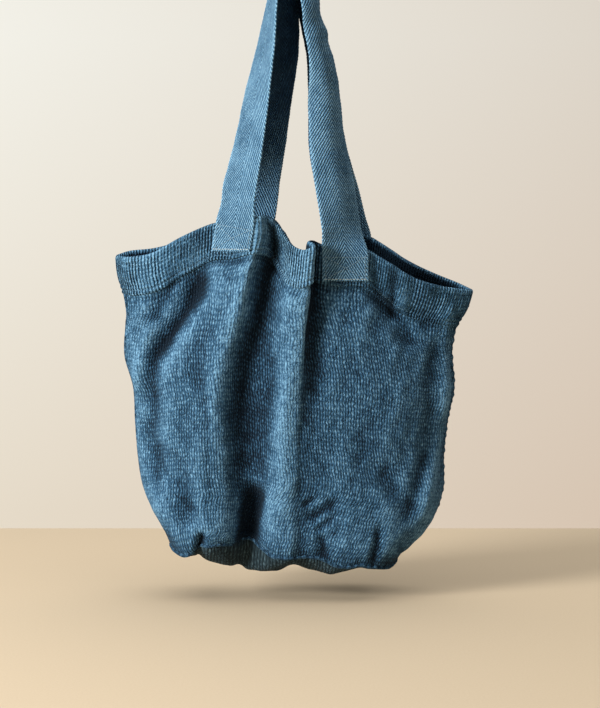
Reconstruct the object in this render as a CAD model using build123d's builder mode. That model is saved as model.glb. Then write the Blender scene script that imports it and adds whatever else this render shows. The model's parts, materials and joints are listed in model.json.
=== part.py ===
from build123d import *
from math import cos, pi, radians, sin
import os

# Open cloth tote bag for a climbing rope: a sack with a boxed base and two webbing handles, hanging by them.
# Millimetres, +Z up, +X to the bag's right, -Y to its front. The origin is where the two handle loops bear
# on the peg that holds them, so the whole bag hangs below it, tilted a little to its right.

# Cloth, webbing and thread
cloth_thickness = 2.0
webbing_width = 50.0
webbing_thickness = 2.5
thread_thickness = 0.8
hem_depth = 40.0
hem_stitch_width = 2.0
stitch_inset = 2  # points of the rim at each end that the hem's stitching leaves out
seam_allowance = 10.0
fold_clearance = 0.5  # between the base's seam allowance and the panels
sack_reach = 260.0  # more than the sack's half width and half depth, for cuts that go right through it
seam_top = 330.0  # the side seams end at the corners of the mouth
seam_half_gap = 1.5  # the felled side seams are this far to each side of the bag's middle plane

# How the sack hangs
sack_tilt = 5.7
sack_drop = 741.0
sack_shift = -12.5

# The sack's cross-sections: height above the base, left and right edge, half depth, squareness of the outline
stations = [
    (0.0, -127.0, 127.0, 62.0, 3.4),
    (25.0, -139.0, 135.0, 66.0, 3.2),
    (70.0, -163.0, 160.0, 63.0, 2.8),
    (150.0, -184.0, 169.0, 57.0, 2.4),
    (230.0, -201.0, 173.0, 51.0, 2.1),
    (275.0, -206.0, 168.0, 47.0, 2.0),
    (330.0, -221.0, 184.0, 45.0, 1.9),
    (405.0, -229.0, 192.0, 44.0, 1.8),
]
outline_points = 17

# Top edges of the mouth, left to right in the sack's own upright plane: held up at the handles, dipping between
front_rim = [(-240, 322), (-221, 327), (-192, 335), (-157, 346), (-110, 368), (-60, 381), (-15, 357), (34, 360),
             (93, 352), (147, 335), (160, 332), (184, 328), (205, 325)]
back_rim = [(-240, 322), (-221, 327), (-192, 336), (-150, 352), (-72, 381), (-10, 362), (38, 374), (98, 361),
            (134, 347), (160, 336), (184, 328), (205, 325)]

# Handles: each loop bends over the peg and its legs turn flat as they come down to the mouth
stitch_width = 1.2
box_stitch_width, box_stitch_height = 42.0, 24.0
box_stitch_middle = -14.0
box_stitch_diagonal, box_stitch_slope = 46.0, 29.0
loop_radius = 9.0
loop_half_gap = 1.5  # from the bag's middle plane to the near edge of each loop
tab_length = 30.0
flex_height = 12.0  # from the rim up to the line where the webbing bends
flex_stand_off = 4.0  # from the webbing's outer face out to that line, the radius of the bend
flex_clearance = 0.4

# Where each leg crosses the rim (x, z) and how far its sewn tab leans to the right, in degrees
front_left_rim, front_left_lean = (-65.9, -359.0), 7.0
front_right_rim, front_right_lean = (57.3, -388.5), 0.0
back_left_rim, back_left_lean = (-47.5, -354.4), 7.0
back_right_rim, back_right_lean = (63.5, -372.6), 0.0

# Leg routes from the loop down: height, sideways place, and turn of the webbing, 90 edge-on and 0 flat to the front
front_left_leg = [(-9, -10.25, 90), (-50, -16, 82), (-102, -25.6, 72), (-160, -34, 63), (-216, -42.6, 54),
                  (-273, -52, 43), (-320, -59.6, 27), (-350, -64.3, 8), (-365, -66.7, 6)]
front_right_leg = [(-9, 10.25, 90), (-50, 12.5, 80), (-102, 17, 69), (-160, 25.5, 57), (-216, 34.6, 44),
                   (-273, 42, 31), (-330, 50, 18), (-377, 56.6, 5), (-395, 57.3, 5)]
back_left_leg = [(-9, -10.25, 90), (-50, -9.5, 82), (-102, -8, 74), (-160, -13.5, 62), (-216, -21, 53),
                 (-273, -32, 41), (-320, -41.5, 24), (-345, -46.2, 6), (-360, -48.3, 5)]
back_right_leg = [(-9, 10.25, 90), (-50, 12, 82), (-102, 15.5, 72), (-160, 23, 57), (-216, 33, 44),
                  (-273, 43, 31), (-325, 52, 16), (-361, 61.5, 5), (-378, 63.8, 5)]

FRONT, BACK = -1, 1
tilt = radians(sack_tilt)
sack_across = (cos(tilt), 0, -sin(tilt))
sack_base = Plane(origin=(sack_shift, 0, -sack_drop), x_dir=sack_across, z_dir=(sin(tilt), 0, cos(tilt)))
sack_face = Plane(origin=sack_base.origin, x_dir=sack_across, z_dir=(0, -1, 0))


def outline(station, side, offset):
    """Half of the sack's cross-section, from the left side seam round the front or back to the right one."""
    height, left, right, half_depth, squareness = station
    middle, half_width = (left + right) / 2, (right - left) / 2 + offset
    reach = half_depth + offset - seam_half_gap
    points = []
    for i in range(outline_points):
        turn = pi * i / (outline_points - 1)
        across = abs(cos(turn)) ** (2 / squareness) * (1 if turn > pi / 2 else -1)
        out = abs(sin(turn)) ** (2 / squareness)
        points.append((middle + half_width * across, side * (seam_half_gap + reach * out)))
    return points


def wall_section(station, side, outside, inside):
    """One level of a layer of the wall, between two offsets from the sack's outer surface."""
    with BuildSketch(sack_base.offset(station[0])) as section:
        with BuildLine():
            outer = Spline(*outline(station, side, outside))
            inner = Spline(*outline(station, side, inside))
            Line(outer @ 0, inner @ 0)
            Line(outer @ 1, inner @ 1)
        make_face()
    return section.sketch


def wall_layer(side, outside, inside):
    """Every level of a layer of the wall, ready to loft."""
    return [wall_section(station, side, outside, inside) for station in stations]


def rim_band(rim, top_drop, bottom_drop):
    """The strip between two curves that follow the rim, seen from the front."""
    with BuildSketch(sack_face) as band:
        with BuildLine():
            top = Spline(*[(x, z - top_drop) for x, z in rim])
            bottom = Spline(*[(x, z - bottom_drop) for x, z in rim])
            Line(top @ 0, bottom @ 0)
            Line(top @ 1, bottom @ 1)
        make_face()
    return band.sketch


def under_rim(rim):
    """Everything below the rim, seen from the front, down to the base."""
    with BuildSketch(sack_face) as below:
        with BuildLine():
            top = Spline(*rim)
            Polyline(top @ 0, (rim[0][0], 0), (rim[-1][0], 0), top @ 1)
        make_face()
    return below.sketch


def base_outline(offset):
    """The whole outline of the base, front and back."""
    with BuildSketch(sack_base) as whole:
        with BuildLine():
            front = Spline(*outline(stations[0], FRONT, offset))
            back = Spline(*outline(stations[0], BACK, offset))
            Line(front @ 0, back @ 0)
            Line(front @ 1, back @ 1)
        make_face()
    return whole.sketch


def side_seam(edge, inward):
    """The upright strip along one side, from the base to the corner of the mouth."""
    outer = [(station[edge], station[0]) for station in stations if station[0] <= seam_top]
    with BuildSketch(sack_face) as strip:
        with BuildLine():
            outside = Spline(*outer)
            inside = Spline(*[(x + inward * seam_allowance, z) for x, z in outer])
            Line(outside @ 0, inside @ 0)
            Line(outside @ 1, inside @ 1)
        make_face()
    return strip.sketch


def wall_depth(x, z):
    """Distance from the bag's middle plane to the sack's outer surface at a point seen from the front."""
    seen = sack_face.to_local_coords(Vector(x, 0, z))
    across, height = seen.X, seen.Y
    low = max(s for s in range(len(stations) - 1) if stations[s][0] <= height)
    share = (height - stations[low][0]) / (stations[low + 1][0] - stations[low][0])
    left, right, half_depth, squareness = (
        a + share * (b - a) for a, b in zip(stations[low][1:], stations[low + 1][1:]))
    part_way = abs(across - (left + right) / 2) / ((right - left) / 2)
    return seam_half_gap + (half_depth - seam_half_gap) * (1 - part_way ** squareness) ** (1 / squareness)


def flex_point(rim_point, side):
    """The middle of the line where one leg bends, just above the rim and outside the webbing."""
    x, z = rim_point[0], rim_point[1] + flex_height
    return Vector(x, side * (wall_depth(x, z) + webbing_thickness + flex_stand_off), z)


def flex_plane(left_rim, right_rim, side):
    """The plane across both legs of a handle where it bends, facing up."""
    left, right = flex_point(left_rim, side), flex_point(right_rim, side)
    run = right - left
    return Plane(origin=left, z_dir=(-run.Z, 0, run.X))


def tab_face(rim_point, lean):
    """The plane that a sewn tab is drawn on: its middle line crosses the rim at the origin."""
    turn = radians(lean)
    return Plane(origin=(rim_point[0], 0, rim_point[1]), x_dir=(cos(turn), 0, -sin(turn)), z_dir=(0, -1, 0))


def leg_sections(leg, side, hand):
    """The webbing's cross-sections down one leg, from the loop to the rim."""
    top, bottom = leg[0][0], leg[-1][0]
    loop_y = loop_half_gap + webbing_width / 2
    rim_y = wall_depth(leg[-1][1], bottom) + webbing_thickness / 2
    sections = []
    for height, x, turn in leg:
        y = side * (loop_y + (rim_y - loop_y) * (top - height) / (top - bottom))
        with BuildSketch(Plane.XY.offset(height)) as section:
            with Locations((x, y)):
                Rectangle(webbing_width, webbing_thickness, rotation=-side * hand * turn)
        sections.append(section.sketch)
    return sections


front_flex = flex_plane(front_left_rim, front_right_rim, FRONT)
back_flex = flex_plane(back_left_rim, back_right_rim, BACK)

# Panels: one sheet in front and one behind, cut at the rim
with BuildPart() as front_panel:
    loft(sections=wall_layer(FRONT, 0, -cloth_thickness))
    extrude(under_rim(front_rim), amount=sack_reach, both=True, mode=Mode.INTERSECT)
front_panel.part.label = "front_panel"

with BuildPart() as back_panel:
    loft(sections=wall_layer(BACK, 0, -cloth_thickness))
    extrude(under_rim(back_rim), amount=sack_reach, both=True, mode=Mode.INTERSECT)
back_panel.part.label = "back_panel"

# Base: a flat sheet under both panels, with its seam allowance lying inside along the edge
with BuildPart() as base_panel:
    extrude(base_outline(0), amount=-cloth_thickness)
base_panel.part.label = "base_panel"

with BuildPart() as base_seam:
    seam_edge = -cloth_thickness - fold_clearance
    extrude(base_outline(seam_edge), amount=cloth_thickness)
    extrude(base_outline(seam_edge - seam_allowance), amount=cloth_thickness, mode=Mode.SUBTRACT)
    with BuildSketch(sack_base):
        Rectangle(2 * sack_reach, 2 * seam_half_gap)
    extrude(amount=cloth_thickness, mode=Mode.SUBTRACT)
base_seam.part.label = "base_seam"

# Hems: the cloth turned inside along the rim
with BuildPart() as front_hem:
    loft(sections=wall_layer(FRONT, -cloth_thickness, -2 * cloth_thickness))
    extrude(rim_band(front_rim, 0, hem_depth), amount=sack_reach, both=True, mode=Mode.INTERSECT)
front_hem.part.label = "front_hem"

with BuildPart() as back_hem:
    loft(sections=wall_layer(BACK, -cloth_thickness, -2 * cloth_thickness))
    extrude(rim_band(back_rim, 0, hem_depth), amount=sack_reach, both=True, mode=Mode.INTERSECT)
back_hem.part.label = "back_hem"

# Side seams: the allowances felled together inside, between the two panels
with BuildPart() as left_side_seam:
    extrude(side_seam(1, 1), amount=seam_half_gap, both=True)
left_side_seam.part.label = "left_side_seam"

with BuildPart() as right_side_seam:
    extrude(side_seam(2, -1), amount=seam_half_gap, both=True)
right_side_seam.part.label = "right_side_seam"

sack_parts = [front_panel, back_panel, base_panel, base_seam, front_hem, back_hem,
              left_side_seam, right_side_seam]

# Hem stitching: a line of thread outside, a hem's depth below the rim, that stops short of the side seams
hem_parts = []
for name, side, rim in [("front_hem_stitches", FRONT, front_rim), ("back_hem_stitches", BACK, back_rim)]:
    with BuildPart() as hem_stitches:
        loft(sections=wall_layer(side, thread_thickness, 0))
        line = rim_band(rim[stitch_inset:-stitch_inset], hem_depth - hem_stitch_width / 2, hem_depth + hem_stitch_width / 2)
        extrude(line, amount=sack_reach, both=True, mode=Mode.INTERSECT)
    hem_stitches.part.label = name
    hem_parts.append(hem_stitches)

# Tabs: the ends of the webbing, sewn flat to the outside of the hem, each with a crossed box of stitches
tabs = [("front_left", front_left_rim, front_left_lean, FRONT, front_flex),
        ("front_right", front_right_rim, front_right_lean, FRONT, front_flex),
        ("back_left", back_left_rim, back_left_lean, BACK, back_flex),
        ("back_right", back_right_rim, back_right_lean, BACK, back_flex)]
inside_width = box_stitch_width - 2 * stitch_width
inside_height = box_stitch_height - 2 * stitch_width
tab_parts = []
for name, rim_point, lean, side, flex in tabs:
    with BuildPart() as tab:
        loft(sections=wall_layer(side, webbing_thickness, 0))
        with BuildSketch(tab_face(rim_point, lean)):
            with Locations((0, -tab_length)):
                Rectangle(webbing_width, 2 * tab_length, align=(Align.CENTER, Align.MIN))
        extrude(amount=sack_reach, both=True, mode=Mode.INTERSECT)
        split(bisect_by=flex.offset(-flex_clearance), keep=Keep.BOTTOM)
    tab.part.label = name + "_tab"
    tab_parts.append(tab)

    with BuildPart() as box_stitches:
        loft(sections=wall_layer(side, webbing_thickness + thread_thickness, webbing_thickness))
        with BuildSketch(tab_face(rim_point, lean)):
            with Locations((0, box_stitch_middle)):
                Rectangle(box_stitch_width, box_stitch_height)
                Rectangle(inside_width, inside_height, mode=Mode.SUBTRACT)
                for diagonal in (box_stitch_slope, -box_stitch_slope):
                    Rectangle(box_stitch_diagonal, stitch_width, rotation=diagonal)
        extrude(amount=sack_reach, both=True, mode=Mode.INTERSECT)
    box_stitches.part.label = name + "_stitches"
    tab_parts.append(box_stitches)

# Handles: a half turn of webbing over the peg and two legs, cut just above the line where they bend
handles = [("front_handle_strip", front_left_leg, front_right_leg, FRONT, front_flex),
           ("back_handle_strip", back_left_leg, back_right_leg, BACK, back_flex)]
handle_parts = []
for name, left_leg, right_leg, side, flex in handles:
    with BuildPart() as handle:
        with BuildSketch(Plane.XZ.offset(-side * loop_half_gap)):
            with Locations((0, -loop_radius)):
                Circle(loop_radius + webbing_thickness)
                Circle(loop_radius, mode=Mode.SUBTRACT)
                Rectangle(webbing_width, webbing_width, align=(Align.CENTER, Align.MIN), mode=Mode.INTERSECT)
        extrude(amount=-side * webbing_width)
        loft(sections=leg_sections(left_leg, side, -1))
        loft(sections=leg_sections(right_leg, side, 1))
        split(bisect_by=flex.offset(flex_clearance), keep=Keep.TOP)
    handle.part.label = name
    handle_parts.append(handle)

os.makedirs("parts", exist_ok=True)
for piece in sack_parts + hem_parts + tab_parts + handle_parts:
    export_step(piece.part, f"parts/{piece.part.label}.step")
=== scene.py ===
import json
from math import asin, atan, cos, pi, radians, sin

import bpy
import numpy as np
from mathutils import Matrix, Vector


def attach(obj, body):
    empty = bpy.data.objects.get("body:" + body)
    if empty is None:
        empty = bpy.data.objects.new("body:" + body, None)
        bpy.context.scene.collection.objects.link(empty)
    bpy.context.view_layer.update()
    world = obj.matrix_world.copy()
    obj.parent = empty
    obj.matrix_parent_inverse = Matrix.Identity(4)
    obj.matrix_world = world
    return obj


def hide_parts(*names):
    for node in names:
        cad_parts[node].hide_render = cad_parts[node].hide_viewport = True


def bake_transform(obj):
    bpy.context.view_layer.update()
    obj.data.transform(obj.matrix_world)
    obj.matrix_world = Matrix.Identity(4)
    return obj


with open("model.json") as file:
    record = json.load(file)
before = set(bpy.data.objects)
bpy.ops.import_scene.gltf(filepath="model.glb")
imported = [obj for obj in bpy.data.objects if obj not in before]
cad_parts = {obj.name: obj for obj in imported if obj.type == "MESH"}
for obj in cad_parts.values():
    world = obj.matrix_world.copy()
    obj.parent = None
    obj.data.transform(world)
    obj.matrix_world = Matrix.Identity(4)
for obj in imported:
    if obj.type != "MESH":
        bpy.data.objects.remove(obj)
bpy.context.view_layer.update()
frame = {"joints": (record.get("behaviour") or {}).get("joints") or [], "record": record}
record = frame["record"]
rng = np.random.default_rng(7)

# ---------------------------------------------------------------- camera
VIEW_HEIGHT = 0.8043  # metres of the bag's plane that the picture's height covers
CAMERA_DISTANCE, CAMERA_RISE = 2.2, radians(4.0)
looked_at = Vector((0.0074, 0.0, -0.5044))

camera = bpy.data.objects.new("camera", bpy.data.cameras.new("camera"))
bpy.context.scene.collection.objects.link(camera)
camera.data.sensor_fit = "VERTICAL"
camera.data.angle = 2 * atan(VIEW_HEIGHT / 2 / CAMERA_DISTANCE)
camera.location = looked_at + CAMERA_DISTANCE * Vector((0, -cos(CAMERA_RISE), sin(CAMERA_RISE)))
camera.rotation_euler = (looked_at - camera.location).to_track_quat("-Z", "Y").to_euler()
bpy.context.scene.camera = camera

# ---------------------------------------------------------------- the sack's own frame
# The base mount gives the sack's place and tilt: "across" runs to its right, "up" from its base to its mouth.
MM = 0.001
CLOTH = 2.0
WEBBING_WIDTH, WEBBING_THICKNESS = 50.0, 2.4
HERRINGBONE_PITCH, HERRINGBONE_SLOPE = 4.8, 1.6
base_mount = next(m for m in record["mounts"] if m["name"] == "base")
down = np.array(base_mount["axis"])
base_origin = np.array(base_mount["pos_m"]) / MM - down * CLOTH
up = -down
tilt = asin(up[0])
across = np.array([cos(tilt), 0.0, -sin(tilt)])
outward = np.array([0.0, 1.0, 0.0])


def hang(u, y, w):
    """Millimetres across, deep and up in the sack's frame, as points of the row frame in millimetres."""
    u, y, w = (np.asarray(a, float)[..., None] for a in (u, y, w))
    return base_origin + u * across + y * outward + w * up


def along(knots, values, at):
    """A smooth curve through values given at knots, one row of values per knot, read at each place in at."""
    knots, values, at = np.asarray(knots, float), np.asarray(values, float), np.asarray(at, float)
    flat = values.reshape(len(knots), -1)
    steps = np.diff(knots)[:, None]
    slopes = np.diff(flat, axis=0) / steps
    tangents = np.vstack([slopes[:1], (slopes[1:] * steps[:-1] + slopes[:-1] * steps[1:])
                          / (steps[1:] + steps[:-1]), slopes[-1:]])
    i = np.clip(np.searchsorted(knots, at, side="right") - 1, 0, len(knots) - 2)
    h = (knots[i + 1] - knots[i])[:, None]
    t = np.clip((at - knots[i])[:, None] / h, 0, 1)
    out = ((2 * t**3 - 3 * t**2 + 1) * flat[i] + (t**3 - 2 * t**2 + t) * h * tangents[i]
           + (3 * t**2 - 2 * t**3) * flat[i + 1] + (t**3 - t**2) * h * tangents[i + 1])
    return out.reshape(at.shape + values.shape[1:])


def smooth(x, low, high):
    """0 below low, 1 above high, with a soft ramp between."""
    t = np.clip((x - low) / (high - low), 0, 1)
    return t * t * (3 - 2 * t)


def unit(vectors):
    """The same directions at length 1."""
    return vectors / np.maximum(np.linalg.norm(vectors, axis=-1, keepdims=True), 1e-9)


def ripples(x, y, count, shortest, longest, seed):
    """Soft irregular relief of about unit height, from waves of mixed lengths and directions."""
    source = np.random.default_rng(seed)
    total = np.zeros(np.broadcast(x, y).shape)
    for _ in range(count):
        length = source.uniform(shortest, longest)
        angle = source.uniform(0, pi)
        total += np.cos(2 * pi / length * (x * cos(angle) + y * sin(angle)) + source.uniform(0, 2 * pi))
    return total / np.sqrt(count)


def crease(u, w, start, end, width, depth):
    """A soft furrow along a line, deepest in its middle; negative depth makes a ridge."""
    start, end = np.array(start, float), np.array(end, float)
    run = end - start
    t = ((u - start[0]) * run[0] + (w - start[1]) * run[1]) / (run @ run)
    nearest_u, nearest_w = start[0] + np.clip(t, 0, 1) * run[0], start[1] + np.clip(t, 0, 1) * run[1]
    away = np.hypot(u - nearest_u, w - nearest_w)
    fade = smooth(t, -0.15, 0.25) * (1 - smooth(t, 0.75, 1.15))
    return depth * np.exp(-(away / width) ** 2) * fade


# ---------------------------------------------------------------- the sack's shape
# Plans of the front, left seam to right seam, as (across, depth). Each handle pulls its stretch of the mouth
# forward; between them the cloth falls back in a valley, comes forward in a ridge and doubles under it.
front_mouth = [
    (-220.5, 0), (-206, -9), (-180, -16), (-150, -21), (-124, -25), (-108, -32), (-91, -42), (-76, -52),
    (-64, -58), (-57, -51), (-50, -40), (-43.5, -33), (-34, -43), (-24, -57), (-12, -62.5), (-3, -65),
    (-1, -60), (-6, -47), (-1, -35), (9, -34.5), (30, -38), (56, -32), (76, -29), (92, -28), (101, -27),
    (120, -23), (145, -17), (166, -10), (182.5, 0),
]
front_middle = [
    (-187, 0), (-180, -14), (-165, -27), (-143, -38), (-122, -46), (-112, -51), (-103, -57), (-96, -59),
    (-90, -57.5), (-82, -53), (-75, -45), (-64, -37.5), (-47, -39), (-29, -53), (-15, -63), (-5, -63),
    (1, -61), (4, -58.5), (10, -56), (20, -54), (40, -54), (62, -54), (82, -50.5), (98, -46.5), (108, -43),
    (124, -36), (144, -27), (160, -13), (169, 0),
]
front_low = [
    (-139, 0), (-138, -22), (-133, -40), (-121, -54), (-107, -60), (-97, -63), (-86, -64), (-76, -63),
    (-68, -59.5), (-60, -53.5), (-51, -45.5), (-40, -41.5), (-28, -47), (-14, -58.5), (-3, -64), (6, -66),
    (12, -63.5), (17, -61), (22, -60), (31, -60), (43, -61.5), (58, -63), (74, -63), (90, -61), (101, -58),
    (114, -51), (126, -38), (133, -21), (134, 0),
]
# The back hangs more plainly: two pulls at its handle and one shallow valley between.
back_mouth = [
    (-220.5, 0), (-206, 8), (-180, 16), (-150, 23), (-124, 31), (-108, 38), (-92, 43), (-72, 46), (-52, 45),
    (-40, 40), (-28, 33), (-16, 31), (-4, 34), (6, 39), (14, 42), (20, 43.5), (26, 44.5), (32, 45), (38, 45),
    (46, 45), (56, 44), (66, 41), (80, 36), (93, 32), (104, 29), (122, 25), (145, 18), (166, 10), (182.5, 0),
]
back_middle = [
    (-187, 0), (-180, 14), (-165, 28), (-143, 40), (-120, 48), (-106, 53), (-90, 56), (-74, 58), (-56, 57),
    (-44, 54), (-32, 51), (-20, 49.5), (-8, 51), (3, 54), (12, 56), (20, 57), (28, 57.5), (36, 58), (44, 58),
    (53, 58), (64, 57), (76, 55), (90, 52), (102, 50), (112, 46), (126, 40), (145, 28), (160, 13), (169, 0),
]
back_low = [(u, -y) for u, y in front_low]
# Where the front's doubled cloth stands higher, as (column, lift)
front_lifts = [(15, 2.0), (16, 5.5), (17, 8.5), (18, 8.5), (19, 4.0)]
# Where its very edge is pushed forward over a pocket, as (column, depth)
front_leans = [(8, 4.0), (9, 0.0), (10, -12.0), (11, -17.0), (12, -9.0)]

# The mouth's top edge, as (across, height): pulled up at the handles, drooping between and at the corners
front_rim = [
    (-220.5, 326.5), (-206, 326.5), (-193, 328.5), (-184, 331.5), (-174, 338), (-157, 350), (-133, 363.5),
    (-117, 373), (-91, 378), (-67, 386), (-52, 387), (-42, 380), (-33, 369), (-24, 358.5), (-14, 354.5),
    (-4, 356.5), (8, 358), (34, 361), (58.8, 361.5), (68, 357.5), (80, 352), (90, 347.5), (102.4, 340.5),
    (114, 335), (126, 333), (137.6, 330.8), (147.6, 328.5), (157.6, 327.1), (167.3, 328), (182.5, 328),
]
back_rim = [
    (-220.5, 327), (-212, 331), (-203, 334), (-194, 336), (-185, 337.5), (-167.5, 342.5), (-159, 346),
    (-150, 350), (-120, 364), (-92, 375), (-72, 379), (-50, 377), (-32, 362), (-15, 353), (4, 354.5),
    (20, 366), (38, 375), (60, 377), (70, 373), (82, 367), (94, 360.7), (104, 355.2), (114.6, 349.7),
    (124.6, 346.9), (138, 341.8), (150, 338.7), (162, 334.9), (173, 332), (182.5, 328),
]

# Side edges, as (height, across), and the bottom edge where the panels turn under, as (across, height)
left_edge = [
    (0, -127), (13, -133), (42, -147), (56, -156), (71, -169), (110, -174.5), (140, -181), (183, -188),
    (201, -195), (221, -200.5), (261, -202.5), (281, -206), (300, -214.5), (327, -220.5),
]
right_edge = [
    (0, 127), (27, 137.5), (50, 151), (70, 168.5), (102, 173), (162, 168.5), (192, 171.5), (213, 173.5),
    (233, 173), (261, 168), (275, 165), (287, 169.5), (301, 176), (319, 182), (328, 182.5),
]
bottom_edge = [
    (-130, 12), (-120, 6), (-112, 4), (-104, 5), (-93, 15), (-79, 20), (-49, 22.5), (-34, 24.5), (-24, 19),
    (-16, 15), (1, 14), (32, 17.5), (47, 15), (65, 9.5), (76, 12), (88, 14.5), (100, 12), (112, 12),
    (123, 13), (130, 19),
]
# How far the base sags below the edges of the panels, as (across, sag)
base_sag = [
    (-127, 0), (-104, 6), (-90, 20), (-74, 29), (-41, 35), (-19, 28), (-6, 23), (9, 16), (25, 19), (42, 22),
    (57, 19), (67, 13), (85, 9), (110, 6), (127, 0),
]

COLUMNS = len(front_mouth)
LOW_HEIGHT = 34.0  # above the base, where the low plan lies
# Rows down each panel: distance below the rim, or height above the base, with each plan's share
ROWS_UNDER_RIM = [(0, 1.0), (20, 1.0), (40, 0.92), (62, 0.72)]
ROWS_BY_HEIGHT = [
    (262, (0.42, 0.58, 0)), (220, (0.17, 0.83, 0)), (180, (0, 1, 0)), (140, (0, 0.85, 0.15)),
    (100, (0, 0.6, 0.4)), (64, (0, 0.25, 0.75)), (34, (0, 0, 1)),
]
SEAM_COVER = -0.5  # the panels reach this much past the seams' own line, under the seams' cloth
END_SHARE = 0.2  # moving a plan's end shifts about this share of it
TURN_IN = 0.93  # how far the plan draws in by the bottom edge, round the turn of the cloth
BULGE_HEIGHTS = 180.0, 300.0  # the rim's ups and downs die out from the second height down to the first


def edge_fit(plan, height):
    """A plan with its two ends moved onto the sack's side edges at that height."""
    left = along(*zip(*left_edge), [height])[0] + SEAM_COVER
    right = along(*zip(*right_edge), [height])[0] - SEAM_COVER
    u = plan[:, 0]
    share = (u - u[0]) / (u[-1] - u[0])
    moved = plan.copy()
    moved[:, 0] += (left - u[0]) * np.exp(-(share / END_SHARE) ** 2)
    moved[:, 0] += (right - u[-1]) * np.exp(-((1 - share) / END_SHARE) ** 2)
    return moved


def control_rows(mouth, middle, low, rim, lifts, leans):
    """The panel's control points, rows from the rim to the bottom edge, as (across, depth, height)."""
    mouth, middle, low = (np.array(plan, float) for plan in (mouth, middle, low))
    rim_height = along(*zip(*rim), mouth[:, 0])
    for column, lift in lifts:
        rim_height[column] += lift
    corner = rim_height[[0, -1]].mean()
    rows = []
    for drop, share in ROWS_UNDER_RIM:
        plan = edge_fit(share * mouth + (1 - share) * middle, corner - drop)
        rows.append(np.column_stack([plan, rim_height - drop]))
    for column, lean in leans:
        rows[0][column, 1] += lean
    for height, (at_mouth, at_middle, at_low) in ROWS_BY_HEIGHT:
        plan = edge_fit(at_mouth * mouth + at_middle * middle + at_low * low, float(height))
        bulge = (rim_height - rim_height.mean()) * 0.5 * smooth(height, *BULGE_HEIGHTS)
        rows.append(np.column_stack([plan, height + bulge]))
    for drawn_in, lift in ((0.985, 0.45), (TURN_IN, 0.0)):
        plan = edge_fit(low, LOW_HEIGHT * lift) * [1, drawn_in]
        bottom = along(*zip(*bottom_edge), np.clip(plan[:, 0], -130, 130))
        rows.append(np.column_stack([plan, bottom + (LOW_HEIGHT - bottom) * lift]))
    return np.array(rows)


def distances(points):
    """Running length along the first axis of a grid of points."""
    return np.concatenate([np.zeros((1,) + points.shape[1:-1]),
                           np.cumsum(np.linalg.norm(np.diff(points, axis=0), axis=-1), axis=0)])


def even_steps(points, count):
    """Places along the first axis that are evenly spaced by the mean length of the grid's lines."""
    length = distances(points)
    length = length.reshape(len(points), -1).mean(axis=1)
    return np.interp(np.linspace(0, length[-1], count), length, np.linspace(0, 1, len(points)))


class Panel:
    """One side of the sack as a smooth surface: rows down from the rim, columns from left to right."""

    def __init__(self, side, *outlines):
        self.side = side
        controls = control_rows(*outlines)
        fine = self.evaluate(controls, np.linspace(0, 1, 12 * COLUMNS), np.linspace(0, 1, 160))
        columns = even_steps(fine.transpose(1, 0, 2), PANEL_COLUMNS)
        self.sack = self.evaluate(controls, columns, even_steps(fine, PANEL_ROWS))
        self.held = np.zeros(self.sack.shape[:2])

    @staticmethod
    def evaluate(controls, columns, rows):
        """Points of the surface at every row and column place, both from 0 to 1."""
        height, width = controls.shape[:2]
        over = along(np.arange(width), controls.transpose(1, 0, 2), columns * (width - 1))
        return along(np.arange(height), over.transpose(1, 0, 2), rows * (height - 1))


def normals(points, side):
    """Unit normals of a grid of points, pointing out of the sack on that side."""
    n = unit(np.cross(np.gradient(points, axis=0), np.gradient(points, axis=1)))
    return n if (n[..., 1].mean() > 0) == (side > 0) else -n


FRONT, BACK = -1, 1
PANEL_COLUMNS, PANEL_ROWS = 260, 210
front = Panel(FRONT, front_mouth, front_middle, front_low, front_rim, front_lifts, front_leans)
back = Panel(BACK, back_mouth, back_middle, back_low, back_rim, [], [])

# Creases, as (start, end, width, depth) in the sack's frame
front_creases = [
    ((-120, 320), (-172, 212), 14, 16), ((-150, 318), (-186, 235), 8, 4), ((-100, 290), (-126, 190), 12, 2),
    ((-178, 150), (-150, 60), 12, 6), ((-174, 232), (-152, 92), 12, 7), ((-176, 262), (-186, 170), 8, -5),
    ((-36, 250), (-30, 90), 10, 4), ((90, 345), (98, 290), 7, 7), ((98, 300), (150, 290), 7, 3),
    ((66, 330), (120, 262), 11, 5), ((24, 58), (54, 84), 6, 4), ((32, 46), (54, 68), 4, 3.5),
    ((16, 74), (30, 84), 4, 3), ((161, 306), (164, 170), 7, -5), ((164, 170), (150, 70), 7, -5),
    ((145, 270), (148, 150), 9, 3.5), ((148, 150), (134, 66), 8, 3), ((95, 130), (136, 70), 12, 3),
    ((-92, 34), (-96, 2), 5, 9), ((-40, 88), (-43, 22), 10, 14), ((60, 250), (80, 110), 18, 3),
    ((-152, 124), (-108, 36), 20, 6), ((-110, 210), (-84, 60), 9, 4), ((104, 60), (100, 16), 6, 5),
    ((40, 44), (44, 18), 7, 5),
]
back_creases = [
    ((-60, 330), (-130, 150), 16, 6), ((40, 330), (110, 170), 16, 6), ((-10, 300), (0, 80), 18, 5),
    ((-165, 300), (-178, 180), 12, 5), ((150, 300), (150, 170), 12, 4), ((-120, 120), (-60, 40), 14, 4),
    ((60, 90), (120, 40), 12, 4), ((-100, 330), (-140, 300), 8, 4), ((90, 340), (120, 300), 8, 4),
]
UNDER_HEM_DROP, UNDER_HEM_DEPTH = 45.0, 1.5  # the cloth draws in just below the hem
BROAD_RIPPLE, FINE_RIPPLE = 0.85, 0.32


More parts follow.
